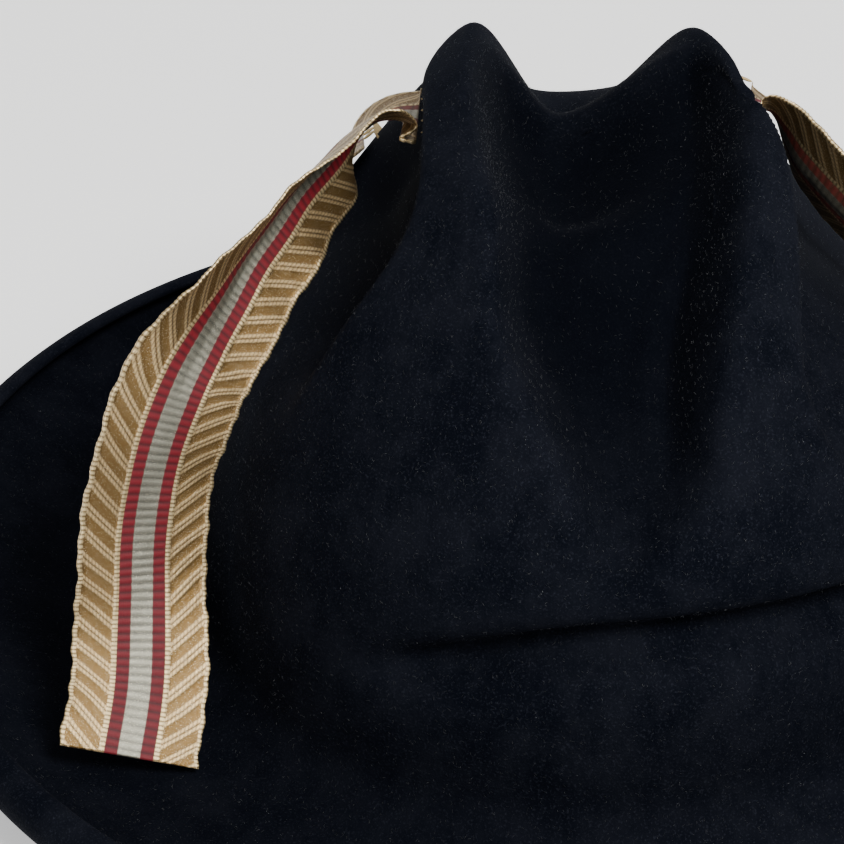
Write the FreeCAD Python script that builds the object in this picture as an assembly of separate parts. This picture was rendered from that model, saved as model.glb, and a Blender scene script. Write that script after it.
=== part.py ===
import FreeCAD, Part
import math
import os

os.makedirs("parts", exist_ok=True)

Vector = FreeCAD.Vector

# Frame: +X to the right as seen from the front, +Y to the back, +Z up; origin under the middle.
# Left and right in the names are as seen from the front.
# All sizes are in millimetres.

# crown before it is dented: half of an ellipsoid over the head's oval
crown_height = 158.0
crown_half_width = 91.0
crown_half_length = 104.0
felt_thickness = 2.6

# foot of the crown and brim
wall_foot = 20.0          # height where the wall starts to flare
brim_mid_height = 1.0     # middle of the felt at the flat of the brim, a little low for levelling
side_flare = 13.0
front_flare = 29.0
brim_width = 77.0
brim_lift = 13.0          # rise of the brim before its curled edge
brim_flat = 0.3           # share of the brim that lies flat, next to the crown
brim_bow = 1.7            # power of the rise beyond it
curl_radius = 4.6
curl_turn = math.radians(150.0)

# dents, all as the deepest push of the felt
front_dent_depth = 38.0
top_crease_depth = 28.0
left_dent_depth = 25.0
right_dent_depth = 26.0
back_dent_depth = 13.0
fold_height = 60.0        # fold across the front of the crown
fold_overhang = 4.5
fold_groove = 7.5
top_flattening = 4.8

# control net of the felt's surface
columns = 72
crown_rows = 26
flare_rows = 5
brim_rows = 10
brim_crowding = 1.5       # rows of the brim draw together towards the curl
curl_rows = 5
edge_rows = 4
apex_share = 0.004        # size of the first ring, as a share of the crown
sectors = 12              # the felt's faces: this many round the hat
rows_per_face = 8

# sweatband
band_bottom = 2.6
band_top = 29.0
band_thickness = 1.2
band_gap = 1.4            # between the leather and the felt
seam_gap = 1.6
reed_bottom = 0.8
reed_size = 1.8
stitch_count = 64
stitch_length = 4.6
stitch_thickness = 0.6
stitch_height = 6.0
tape_width = 10.0
tape_height = 22.0
tape_thickness = 0.6
bow_height = 18.0         # middle of the bow above the brim
bow_loop_length = 11.0
bow_loop_width = 8.0
bow_depth = 2.4
bow_knot = 4.0

# ribbons
ribbon_width = 32.0
ribbon_thickness = 0.9
tack_count = 5
tack_length = 3.6
tack_setback = 0.6        # behind the ribbon's end
tack_leg = 8.0            # down through the felt
tack_thickness = 0.8
clear = 0.4               # between pieces that only lie on each other

# middle of each ribbon from its sewn end down, and the way its width points there
left_ribbon_run = [
    ((-39.1, 17.0, 125.4), (0.0, -1.0, 0.05)),
    ((-44.5, 17.0, 125.2), (0.0, -1.0, 0.2)),
    ((-50.8, 12.5, 123.6), (0.0, -0.87, 0.49)),
    ((-56.8, 4.0, 119.5), (-0.2, -0.76, 0.61)),
    ((-64.2, -4.0, 114.6), (-0.31, -0.7, 0.64)),
    ((-70.0, -12.0, 109.5), (-0.44, -0.64, 0.62)),
    ((-75.7, -19.0, 104.3), (-0.52, -0.6, 0.6)),
    ((-81.0, -26.0, 98.5), (-0.6, -0.57, 0.52)),
    ((-86.7, -32.0, 92.0), (-0.76, -0.49, 0.36)),
    ((-91.6, -37.0, 85.0), (-0.84, -0.42, 0.32)),
    ((-96.2, -41.0, 74.0), (-0.85, -0.42, 0.33)),
    ((-99.4, -44.0, 62.7), (-0.84, -0.44, 0.34)),
    ((-101.2, -47.5, 51.0), (-0.85, -0.42, 0.32)),
    ((-101.8, -53.0, 37.0), (-0.9, -0.35, 0.25)),
    ((-102.2, -63.0, 21.5), (-0.95, -0.22, 0.21)),
    ((-104.5, -74.0, 9.3), (-0.95, -0.16, 0.2)),
]
right_ribbon_run = [
    ((37.4, 25.0, 124.6), (0.0, -1.0, 0.1)),
    ((42.5, 24.0, 123.0), (0.0, -0.93, 0.35)),
    ((46.0, 19.5, 119.5), (0.05, -0.78, 0.6)),
    ((49.5, 14.0, 115.8), (0.1, -0.68, 0.72)),
    ((54.0, 9.0, 112.0), (0.14, -0.66, 0.72)),
    ((60.0, 4.0, 107.0), (0.2, -0.67, 0.68)),
    ((69.5, -2.0, 99.0), (0.3, -0.7, 0.6)),
    ((79.5, -6.5, 89.5), (0.38, -0.76, 0.48)),
    ((88.5, -10.5, 77.0), (0.42, -0.82, 0.36)),
    ((95.0, -14.0, 62.5), (0.44, -0.86, 0.26)),
    ((100.0, -18.0, 47.0), (0.45, -0.88, 0.2)),
    ((104.0, -23.0, 32.0), (0.45, -0.88, 0.16)),
    ((108.0, -27.5, 19.0), (0.45, -0.88, 0.14)),
    ((112.5, -31.0, 12.5), (0.45, -0.88, 0.12)),
]
rear_ribbon_run = [
    ((-52.5, 60.0, 98.5), (0.0, -1.0, 0.3)),
    ((-58.0, 58.5, 94.5), (0.0, -1.0, 0.25)),
    ((-66.0, 54.0, 85.0), (0.0, -1.0, 0.2)),
    ((-76.0, 47.5, 74.4), (-0.05, -1.0, 0.15)),
    ((-83.0, 40.0, 60.4), (-0.12, -1.0, 0.1)),
    ((-87.0, 33.5, 46.5), (-0.15, -1.0, 0.05)),
    ((-90.3, 28.5, 35.0), (-0.16, -1.0, 0.0)),
    ((-91.8, 26.0, 27.0), (-0.16, -1.0, 0.0)),
]


def ramp(low, high, value):
    """Smooth step from 0 at low to 1 at high."""
    share = min(1.0, max(0.0, (value - low) / (high - low)))
    return share * share * (3.0 - 2.0 * share)


def cliff(low, high, value):
    """Rises at once at low and eases out at high, for an edge that stays crisp."""
    share = min(1.0, max(0.0, (value - low) / (high - low)))
    return 1.0 - (1.0 - share) ** 2.2


def bell(value, spread):
    return math.exp(-0.5 * (value / spread) ** 2)


def lip_line(height, bottom, top, start, power):
    """Y of a side dent's front lip: start at the bottom, running to 0 at the top."""
    share = min(1.0, max(0.0, (height - bottom) / (top - bottom)))
    return start * (1.0 - share ** power)


def front_dent(x, y, z):
    """V-shaped dent, its left edge crisp and its right edge soft, down to a point above the fold."""
    left = -5.5 - 17.5 * ramp(80.0, 120.0, z) - 6.0 * ramp(132.0, 152.0, z)
    right = 10.0 + 14.0 * ramp(64.0, 92.0, z) + 10.5 * ramp(90.0, 150.0, z)
    across = cliff(left, left + 13.0, x) * ramp(right + 3.0, right - 11.0, x)
    return front_dent_depth * ramp(58.0, 114.0, z) * across * ramp(36.0, -22.0, y)


def top_crease(x, y, z):
    """Trough from front to back between the two peaks, steeper on its left."""
    valley = ramp(-29.0, -6.0, x) if x < -6.0 else ramp(34.0, -6.0, x)
    along = ramp(-80.0, -20.0, y) * ramp(106.0, 54.0, y)
    return top_crease_depth * ramp(94.0, 148.0, z) * valley * along


def left_dent(x, y, z):
    lip = lip_line(z, 98.0, 147.0, -44.5, 4.2)
    height = ramp(74.0, 106.0, z) * ramp(148.0, 121.0, z)
    along = cliff(lip - 1.0, lip + 15.0, y) * ramp(66.0, 14.0, y)
    return left_dent_depth * height * ramp(-14.0, -45.0, x) * along


def right_dent(x, y, z):
    lip = lip_line(z, 85.0, 149.0, -65.5, 1.85)
    height = ramp(62.0, 100.0, z) * ramp(154.0, 120.0, z)
    along = cliff(lip - 1.0, lip + 15.0, y) * ramp(76.0, 14.0, y)
    return right_dent_depth * height * ramp(10.0, 44.0, x) * along


def back_dent(x, y, z):
    return back_dent_depth * ramp(84.0, 130.0, z) * bell(x, 17.0) * ramp(30.0, 60.0, y)


def dented(x, y, z):
    """Where a point of the plain crown lies once the felt is dented and folded."""
    deep = front_dent(x, y, z)
    around = ramp(10.0, -50.0, y) * ramp(-60.0, -22.0, x)
    bend = 0.0055 if x < 0.0 else 0.0026
    rise = z - (fold_height + 0.08 * x - bend * x * x)
    lip = fold_overhang * ramp(0.0, 4.0, rise) * ramp(50.0, 8.0, rise)
    groove = fold_groove * bell(rise + 4.6, 4.4) * ramp(32.0, 42.0, z)
    fold = around * (lip - groove)
    sag = 3.0 * around * ramp(-3.0, 2.0, rise) * ramp(18.0, 4.0, rise)
    reach = math.hypot(x / crown_half_width, y / crown_half_length)
    out_x = x / crown_half_width / reach
    out_y = y / crown_half_length / reach
    return Vector(
        x + left_dent(x, y, z) - right_dent(x, y, z) + out_x * fold,
        y + 0.86 * deep - back_dent(x, y, z) + out_y * fold,
        z - 0.36 * deep - top_crease(x, y, z) - sag - top_flattening * ramp(136.0, 150.0, z),
    )


foot_share = math.sin(math.acos(wall_foot / crown_height))


def crown_point(turn, share):
    """Point of the crown: share 0 at the top, 1 at the foot of the wall."""
    fall = share * math.acos(wall_foot / crown_height)
    x = crown_half_width * math.sin(fall) * math.cos(turn)
    y = crown_half_length * math.sin(fall) * math.sin(turn)
    return dented(x, y, crown_height * math.cos(fall))


def beyond_foot(turn, reach, height):
    x = (crown_half_width * foot_share + reach) * math.cos(turn)
    y = (crown_half_length * foot_share + reach) * math.sin(turn)
    return Vector(x, y, height)


def flare_size(turn):
    return side_flare + (front_flare - side_flare) * ramp(0.3, -0.9, math.sin(turn))


def flare_point(turn, share):
    angle = share * math.pi / 2.0
    reach = flare_size(turn) * (1.0 - math.cos(angle))
    return beyond_foot(turn, reach, wall_foot - (wall_foot - brim_mid_height) * math.sin(angle))


def brim_rise(turn):
    return brim_lift * (0.8 + 0.2 * math.cos(turn) ** 2)


def brim_point(turn, share):
    flare = flare_size(turn)
    reach = flare + (brim_width - curl_radius - flare) * share
    climb = max(0.0, share - brim_flat) / (1.0 - brim_flat)
    return beyond_foot(turn, reach, brim_mid_height + brim_rise(turn) * climb ** brim_bow)


def curl_point(turn, share):
    """Edge of the brim, rolled upwards and inwards."""
    run = brim_width - curl_radius
    slope = brim_bow * brim_rise(turn) / (1.0 - brim_flat) / (run - flare_size(turn))
    tilt = math.atan(slope)
    angle = tilt + share * curl_turn
    reach = run + curl_radius * (math.sin(angle) - math.sin(tilt))
    height = brim_mid_height + brim_rise(turn) + curl_radius * (math.cos(tilt) - math.cos(angle))
    return beyond_foot(turn, reach, height)


def profile(turn):
    """Middle line of the felt at one turn round the axis, from the top out to the rim."""
    line = []
    for row in range(crown_rows):
        share = apex_share + (1.0 - apex_share) * row / crown_rows
        line.append(crown_point(turn, share))
    for row in range(flare_rows):
        line.append(flare_point(turn, row / flare_rows))
    for row in range(brim_rows):
        line.append(brim_point(turn, 1.0 - (1.0 - row / brim_rows) ** brim_crowding))
    for row in range(curl_rows + 1):
        line.append(curl_point(turn, row / curl_rows))
    return line


def middle_grid():
    return [profile(2.0 * math.pi * column / columns + math.pi / 2.0) for column in range(columns)]


def grid_normal(grid, column, row):
    """Outward normal of the grid, from its neighbours."""
    ahead = grid[(column + 1) % columns][row]
    behind = grid[(column - 1) % columns][row]
    last = len(grid[column]) - 1
    outer = grid[column][min(last, row + 1)]
    inner = grid[column][max(0, row - 1)]
    normal = (outer - inner).cross(ahead - behind)
    return normal.normalize()


def felt_section(line, normals):
    """Closed section of the felt: along its top, round its edge and back along its underside."""
    half = felt_thickness / 2.0
    top = [point + normal * half for point, normal in zip(line, normals)]
    under = [point - normal * half for point, normal in zip(line, normals)]
    onward = (line[-1] - line[-2]).normalize()
    edge = []
    for step in range(1, edge_rows):
        angle = math.pi * step / edge_rows
        edge.append(line[-1] + (normals[-1] * math.cos(angle) + onward * math.sin(angle)) * half)
    return top + edge + under[::-1]


def felt_net():
    """Control net of the felt, one closed section to a column, drawn to a point at both ends."""
    grid = middle_grid()
    net = []
    for column, line in enumerate(grid):
        normals = [grid_normal(grid, column, row) for row in range(len(line))]
        net.append(felt_section(line, normals))
    for end in (0, -1):
        centre = sum((section[end] for section in net), Vector()) / columns
        for section in net:
            section[end] = centre
    return net


def felt_surface():
    """Cubic B-spline surface, closed round the hat."""
    net = felt_net()
    around = [float(knot) for knot in range(columns + 1)]
    along = [float(knot) for knot in range(len(net[0]) - 2)]
    surface = Part.BSplineSurface()
    surface.buildFromPolesMultsKnots(
        net,
        [1] * len(around),
        [4] + [1] * (len(along) - 2) + [4],
        around,
        along,
        True,
        False,
        3,
        3,
    )
    return surface, int(along[-1])


def felt_solid():
    """Crown and brim, pressed from one piece of felt and ironed level where it rests."""
    surface, last_row = felt_surface()
    cuts = list(range(0, last_row - rows_per_face // 2, rows_per_face)) + [last_row]
    width = columns // sectors
    faces = []
    for sector in range(sectors):
        for low, high in zip(cuts, cuts[1:]):
            patch = surface.copy()
            patch.segment(sector * width, (sector + 1) * width, low, high)
            faces.append(patch.toShape())
    pressed = Part.Solid(Part.makeShell(faces))
    reach = crown_half_length + brim_width
    below = Part.makeBox(reach * 2.0, reach * 2.0, wall_foot, Vector(-reach, -reach, -wall_foot))
    return pressed.cut(below)


def wall_axes(height, inset):
    """Half width and half length of an oval inside the crown's wall."""
    share = math.sqrt(1.0 - (max(height, wall_foot) / crown_height) ** 2)
    inset += felt_thickness / 2.0 + band_gap
    return crown_half_width * share - inset, crown_half_length * share - inset


def oval(half_width, half_length, height):
    edge = Part.Ellipse(Vector(0, half_length, height), Vector(half_width, 0, height), Vector(0, 0, height))
    return Part.Wire([edge.toShape()])


def band_side(inset):
    """Solid bounded by one side of the sweatband."""
    low = wall_axes(wall_foot, inset)
    high = wall_axes(band_top, inset)
    return Part.makeLoft([oval(*low, band_bottom), oval(*high, band_top)], True, True)


def sweatband():
    """Leather strip round the inside of the crown, its ends meeting at the back."""
    band = band_side(0.0).cut(band_side(band_thickness))
    slot = Part.makeBox(seam_gap, crown_half_length, band_top * 2.0, Vector(-seam_gap / 2.0, 0, 0))
    return band.cut(slot)


def reed():
    """Thin reed that stiffens the lower edge of the sweatband, outside the leather."""
    inner = wall_axes(wall_foot, -clear)
    outer = wall_axes(wall_foot, -clear - reed_size)
    ring = Part.Face(oval(*outer, reed_bottom)).cut(Part.Face(oval(*inner, reed_bottom)))
    return ring.Faces[0].extrude(Vector(0, 0, reed_size))


def oval_frame(half_width, half_length, turn):
    """Point of an oval and the way along it."""
    point = Vector(half_width * math.cos(turn), half_length * math.sin(turn), 0)
    along = Vector(-half_width * math.sin(turn), half_length * math.cos(turn), 0).normalize()
    return point, along


def bar(middle, along, up, length, width, height):
    """Block with its length along one way and its height along another."""
    across = up.cross(along).normalize()
    corner = middle - along * (length / 2.0) - across * (width / 2.0) - up * (height / 2.0)
    points = [corner, corner + along * length, corner + along * length + across * width, corner + across * width]
    base = Part.Face(Part.makePolygon(points + [corner]))
    return base.extrude(up * height)


def sweatband_stitches():
    """Row of stitches through the leather into the reed's tape."""
    inset = band_thickness + stitch_thickness + clear
    half_width, half_length = wall_axes(wall_foot, inset)
    stitches = []
    for number in range(stitch_count):
        turn = math.pi / 2.0 + 2.0 * math.pi * (number + 0.5) / stitch_count
        point, along = oval_frame(half_width, half_length, turn)
        middle = point + Vector(0, 0, stitch_height)
        stitches.append(bar(middle, along, Vector(0, 0, 1), stitch_length, stitch_thickness, stitch_thickness))
    return Part.Compound(stitches)


def back_of_band(inset):
    return wall_axes(band_top, band_thickness + inset)[1]


def seam_tape():
    """Tape behind which the ends of the sweatband meet."""
    middle_y = back_of_band(clear + tape_thickness)
    low = stitch_height + 2.0 * stitch_thickness
    middle = Vector(0, middle_y, low + tape_height / 2.0)
    return bar(middle, Vector(1, 0, 0), Vector(0, 0, 1), tape_width, tape_thickness, tape_height)


def bow():
    """Small flat bow tied over the seam tape."""
    back = back_of_band(2.0 * clear + 1.5 * tape_thickness)
    depth = Vector(0, -bow_depth, 0)
    corner = Vector(-bow_knot / 2.0, back - bow_depth, bow_height - bow_knot / 2.0)
    solid = Part.makeBox(bow_knot, bow_depth, bow_knot, corner)
    for side in (-1, 1):
        middle = Vector(side * bow_loop_length / 2.0, back, bow_height)
        major = middle + Vector(bow_loop_length / 2.0, 0, 0)
        minor = middle + Vector(0, 0, bow_loop_width / 2.0)
        loop = Part.Face(Part.Wire([Part.Ellipse(major, minor, middle).toShape()])).extrude(depth)
        eye_major = middle + Vector(bow_loop_length / 4.0, 0, 0)
        eye_minor = middle + Vector(0, 0, bow_loop_width / 6.0)
        eye = Part.Face(Part.Wire([Part.Ellipse(eye_major, eye_minor, middle).toShape()])).extrude(depth)
        solid = solid.fuse(loop.cut(eye))
    return solid.removeSplitter()


def ribbon_frames(run):
    """Middle, width way and face way at each station of a ribbon."""
    middles = [Vector(*middle) for middle, _ in run]
    frames = []
    for index, (_, way) in enumerate(run):
        before = middles[max(0, index - 1)]
        after = middles[min(len(run) - 1, index + 1)]
        along = (after - before).normalize()
        width = Vector(*way)
        width = (width - along * width.dot(along)).normalize()
        frames.append((middles[index], width, along.cross(width)))
    return frames


def ribbon(run):
    """Woven strip of even width and thickness."""
    sections = []
    for middle, width, face in ribbon_frames(run):
        side = width * (ribbon_width / 2.0)
        lift = face * (ribbon_thickness / 2.0)
        corners = [middle - side - lift, middle + side - lift, middle + side + lift, middle - side + lift]
        sections.append(Part.makePolygon(corners + [corners[0]]))
    return Part.makeLoft(sections, True, True)


def tacks(run):
    """Thread tacks that hold the end of a ribbon down on the felt."""
    middle, width, face = ribbon_frames(run)[0]
    along = width.cross(face)
    up = face if face.z > 0 else face * -1.0
    lift = ribbon_thickness / 2.0 + clear + tack_thickness / 2.0
    solids = []
    for number in range(tack_count):
        share = (number + 0.5) / tack_count - 0.5
        place = middle + width * (ribbon_width * share) + up * lift - along * (tack_length / 2.0 + tack_setback)
        over = bar(place, along, up, tack_length, tack_thickness, tack_thickness)
        foot = place - along * (tack_length - tack_thickness) * 0.5 - up * (tack_leg * 0.5)
        leg = bar(foot, along, up, tack_thickness, tack_thickness, tack_leg)
        solids.append(over.fuse(leg).removeSplitter())
    return Part.Compound(solids)


parts = {
    "felt_body": felt_solid(),
    "sweatband": sweatband(),
    "sweatband_reed": reed(),
    "sweatband_stitches": sweatband_stitches(),
    "sweatband_seam_tape": seam_tape(),
    "sweatband_bow": bow(),
    "left_ribbon": ribbon(left_ribbon_run),
    "left_ribbon_tacks": tacks(left_ribbon_run),
    "left_rear_ribbon": ribbon(rear_ribbon_run),
    "left_rear_ribbon_tacks": tacks(rear_ribbon_run),
    "right_ribbon": ribbon(right_ribbon_run),
    "right_ribbon_tacks": tacks(right_ribbon_run),
}

for name, shape in parts.items():
    shape.exportStep("parts/" + name + ".step")
    print(name, "solids", len(shape.Solids), "valid", shape.isValid(), "volume", round(shape.Volume, 1))
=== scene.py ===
import bmesh
import bpy
import math
import numpy as np
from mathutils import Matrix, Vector


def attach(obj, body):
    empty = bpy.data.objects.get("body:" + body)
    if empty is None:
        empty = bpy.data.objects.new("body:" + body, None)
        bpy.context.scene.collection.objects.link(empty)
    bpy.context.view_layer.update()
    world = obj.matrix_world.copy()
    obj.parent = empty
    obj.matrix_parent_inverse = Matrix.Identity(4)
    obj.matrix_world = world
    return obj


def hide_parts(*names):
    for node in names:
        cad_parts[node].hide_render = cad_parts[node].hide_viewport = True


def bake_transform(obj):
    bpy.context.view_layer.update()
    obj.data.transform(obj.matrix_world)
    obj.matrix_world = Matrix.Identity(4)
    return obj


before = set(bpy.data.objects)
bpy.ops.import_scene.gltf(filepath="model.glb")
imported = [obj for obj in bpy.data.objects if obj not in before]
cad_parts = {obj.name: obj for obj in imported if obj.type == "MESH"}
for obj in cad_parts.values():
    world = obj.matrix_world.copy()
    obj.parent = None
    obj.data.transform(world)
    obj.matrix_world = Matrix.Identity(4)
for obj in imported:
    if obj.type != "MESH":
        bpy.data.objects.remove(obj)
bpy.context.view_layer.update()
mm = 0.001
print("frame loaded")


def ramp(low, high, value):
    share = np.clip((value - low) / (high - low), 0.0, 1.0)
    return share * share * (3.0 - 2.0 * share)


def cliff(low, high, value):
    # rises at once at low and eases out at high, for an edge that stays crisp
    share = np.clip((value - low) / (high - low), 0.0, 1.0)
    return 1.0 - (1.0 - share) ** 2.2


def bell(value, spread):
    return np.exp(-0.5 * (value / spread) ** 2)


def unit(vectors):
    return vectors / (np.linalg.norm(vectors, axis=-1, keepdims=True) + 1e-12)


def addPiece(name, points, faces, material, smooth=True, closed=True):
    mesh = bpy.data.meshes.new(name)
    mesh.from_pydata(np.asarray(points).reshape(-1, 3).tolist(), [], faces)
    mesh.materials.append(material)
    mesh.validate()
    if closed:
        shell = bmesh.new()
        shell.from_mesh(mesh)
        bmesh.ops.recalc_face_normals(shell, faces=shell.faces)
        shell.to_mesh(mesh)
        shell.free()
    if smooth:
        mesh.polygons.foreach_set("use_smooth", [True] * len(mesh.polygons))
    piece = bpy.data.objects.new(name, mesh)
    bpy.context.scene.collection.objects.link(piece)
    return piece


def paintPoints(piece, name, values):
    attribute = piece.data.attributes.new(name, "FLOAT_VECTOR", "POINT")
    attribute.data.foreach_set("vector", np.asarray(values, np.float32).ravel())


def nodesOf(material):
    material.use_nodes = True
    tree = material.node_tree
    tree.nodes.clear()
    out = tree.nodes.new("ShaderNodeOutputMaterial")
    shader = tree.nodes.new("ShaderNodeBsdfPrincipled")
    tree.links.new(shader.outputs[0], out.inputs[0])
    return tree, shader


def addNode(tree, kind, inputs=None, **settings):
    node = tree.nodes.new(kind)
    for key, value in settings.items():
        setattr(node, key, value)
    for key, value in (inputs or {}).items():
        if isinstance(value, bpy.types.NodeSocket):
            tree.links.new(value, node.inputs[key])
        else:
            node.inputs[key].default_value = value
    return node


def sums(tree, operation, *values, clamp=False):
    node = addNode(tree, "ShaderNodeMath", dict(enumerate(values)), operation=operation, use_clamp=clamp)
    return node.outputs[0]


def between(tree, value, low, high, soft):
    # 1 where value lies from low to high, with soft borders
    rise = addNode(tree, "ShaderNodeMapRange", {0: value, 1: low - soft, 2: low + soft}, clamp=True)
    fall = addNode(tree, "ShaderNodeMapRange", {0: value, 1: high + soft, 2: high - soft}, clamp=True)
    return sums(tree, "MULTIPLY", rise.outputs[0], fall.outputs[0])


def mixColours(tree, share, low, high):
    node = tree.nodes.new("ShaderNodeMix")
    node.data_type = "RGBA"
    for index, value in ((0, share), (6, low), (7, high)):
        if isinstance(value, bpy.types.NodeSocket):
            tree.links.new(value, node.inputs[index])
        else:
            node.inputs[index].default_value = value
    return node.outputs[2]


def noise(tree, coordinates, scale, detail=2.0, roughness=0.5):
    inputs = {"Vector": coordinates, "Scale": scale, "Detail": detail, "Roughness": roughness}
    return addNode(tree, "ShaderNodeTexNoise", inputs).outputs[0]


def stretched(tree, coordinates, scale):
    return addNode(tree, "ShaderNodeMapping", {"Vector": coordinates, "Scale": scale}).outputs[0]


def bump(tree, shader, height, distance, strength=1.0):
    node = addNode(tree, "ShaderNodeBump", {"Height": height, "Distance": distance, "Strength": strength})
    tree.links.new(node.outputs[0], shader.inputs["Normal"])
    return node


def setUpStudio():
    view = {"target": (-0.0383, 0.0, 0.0537), "distance": 1.0, "elevation": 30.0, "lens": 181.5}
    camera = bpy.data.objects.new("camera", bpy.data.cameras.new("camera"))
    bpy.context.scene.collection.objects.link(camera)
    tilt = math.radians(view["elevation"])
    target = Vector(view["target"])
    camera.location = target + view["distance"] * Vector((0, -math.cos(tilt), math.sin(tilt)))
    camera.rotation_euler = (target - camera.location).to_track_quat("-Z", "Y").to_euler()
    camera.data.lens = view["lens"]
    camera.data.sensor_width = 36.0
    bpy.context.scene.camera = camera

    floorPaint = bpy.data.materials.new("floorPaint")
    tree, shader = nodesOf(floorPaint)
    shader.inputs["Base Color"].default_value = (0.9, 0.9, 0.9, 1)
    shader.inputs["Roughness"].default_value = 0.9
    shader.inputs["Emission Color"].default_value = (1, 1, 1, 1)
    shader.inputs["Emission Strength"].default_value = 0.55
    half = 6.0
    corners = [(-half, -half, 0), (half, -half, 0), (half, half, 0), (-half, half, 0)]
    floor = addPiece("floor", corners, [(0, 1, 2, 3)], floorPaint, smooth=False, closed=False)

    world = bpy.data.worlds.new("studio")
    world.use_nodes = True
    world.node_tree.nodes["Background"].inputs[0].default_value = (0.96, 0.98, 1.0, 1)
    world.node_tree.nodes["Background"].inputs[1].default_value = 0.45
    bpy.context.scene.world = world
    lamps = {
        "key": {"place": (0.55, -1.3, 1.5), "size": 0.6, "watts": 60.0, "tint": (1.0, 0.99, 0.96)},
        "overhead": {"place": (0.3, 0.6, 1.7), "size": 1.3, "watts": 10.0, "tint": (1.0, 0.99, 0.98)},
    }
    for name, lamp in lamps.items():
        light = bpy.data.lights.new(name, "AREA")
        light.size = lamp["size"]
        light.energy = lamp["watts"]
        light.color = lamp["tint"]
        holder = bpy.data.objects.new(name, light)
        holder.location = lamp["place"]
        holder.rotation_euler = (Vector((0, 0, 0.06)) - holder.location).to_track_quat("-Z", "Y").to_euler()
        bpy.context.scene.collection.objects.link(holder)
    print("studio ready")


setUpStudio()


felt = {
    "crownHeight": 158.0, "halfWidth": 91.0, "halfLength": 104.0, "thickness": 2.6,
    "wallFoot": 20.0, "brimHeight": 1.3, "sideFlare": 13.0, "frontFlare": 29.0,
    "brimWidth": 73.0, "brimLift": 13.0, "brimFlat": 0.3, "brimBow": 1.7,
    "curlRadius": 4.6, "curlTurn": 150.0,
    "frontDent": 38.0, "topCrease": 28.0, "leftDent": 25.0, "rightDent": 26.0, "backDent": 13.0,
    "topFlat": 4.8, "thinFold": 3.2, "foldHeight": 60.0, "foldOverhang": 4.5, "foldGroove": 11.0,
    "brushRadius": 95.0, "smoothing": 3,
    "columns": 288, "crownRows": 120, "flareRows": 14, "brimRows": 34, "curlRows": 18,
}


def lipLine(height, bottom, top, start, power):
    share = np.clip((height - bottom) / (top - bottom), 0.0, 1.0)
    return start * (1.0 - share ** power)


def frontDent(x, y, z):
    # V-shaped: a crisp left edge, a soft right one, and a thin fold of felt that stands up inside it
    left = -5.5 - 17.5 * ramp(80.0, 120.0, z) - 6.0 * ramp(132.0, 152.0, z)
    right = 10.0 + 14.0 * ramp(64.0, 92.0, z) + 10.5 * ramp(90.0, 150.0, z)
    across = cliff(left, left + 13.0, x) * ramp(right + 3.0, right - 11.0, x)
    deep = felt["frontDent"] * ramp(58.0, 114.0, z) * across * ramp(36.0, -22.0, y)
    ridge = 11.5 + 18.0 * np.clip((z - 88.0) / 50.0, 0.0, 1.2) ** 2.9
    fold = bell(x - ridge, 2.3) * ramp(76.0, 96.0, z) * ramp(146.0, 132.0, z) * ramp(10.0, -20.0, y)
    return deep - felt["thinFold"] * fold


def topCrease(x, y, z):
    valley = np.where(x < -6.0, ramp(-29.0, -6.0, x), ramp(34.0, -6.0, x))
    along = ramp(-80.0, -20.0, y) * ramp(106.0, 54.0, y)
    return felt["topCrease"] * ramp(94.0, 148.0, z) * valley * along


def leftDent(x, y, z):
    lip = lipLine(z, 98.0, 147.0, -44.5, 4.2)
    height = ramp(74.0, 106.0, z) * ramp(148.0, 121.0, z)
    along = cliff(lip - 1.0, lip + 15.0, y) * ramp(66.0, 14.0, y)
    return felt["leftDent"] * height * ramp(-14.0, -45.0, x) * along


def rightDent(x, y, z):
    lip = lipLine(z, 85.0, 149.0, -65.5, 1.85)
    height = ramp(62.0, 100.0, z) * ramp(154.0, 120.0, z)
    along = cliff(lip - 1.0, lip + 15.0, y) * ramp(76.0, 14.0, y)
    return felt["rightDent"] * height * ramp(10.0, 44.0, x) * along


def dented(x, y, z):
    deep = frontDent(x, y, z)
    around = ramp(10.0, -50.0, y) * ramp(-60.0, -22.0, x)
    rise = z - (felt["foldHeight"] + 0.08 * x - np.where(x < 0.0, 0.0055, 0.0026) * x * x)
    lip = felt["foldOverhang"] * ramp(0.0, 4.0, rise) * ramp(50.0, 8.0, rise)
    groove = felt["foldGroove"] * bell(rise + 5.2, 5.2) * ramp(32.0, 42.0, z)
    fold = around * (lip - groove)
    sag = 3.0 * around * ramp(-3.0, 2.0, rise) * ramp(18.0, 4.0, rise)
    reach = np.hypot(x / felt["halfWidth"], y / felt["halfLength"]) + 1e-9
    back = felt["backDent"] * ramp(84.0, 130.0, z) * bell(x, 17.0) * ramp(30.0, 60.0, y)
    return np.stack([
        x + leftDent(x, y, z) - rightDent(x, y, z) + x / felt["halfWidth"] / reach * fold,
        y + 0.86 * deep - back + y / felt["halfLength"] / reach * fold,
        z - 0.36 * deep - topCrease(x, y, z) - sag - felt["topFlat"] * ramp(136.0, 150.0, z),
    ], axis=-1)


def beyondFoot(turn, reach, height):
    foot = math.sin(math.acos(felt["wallFoot"] / felt["crownHeight"]))
    x = (felt["halfWidth"] * foot + reach) * np.cos(turn)
    y = (felt["halfLength"] * foot + reach) * np.sin(turn)
    return np.stack([x, y, height + 0.0 * x], axis=-1)


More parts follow.
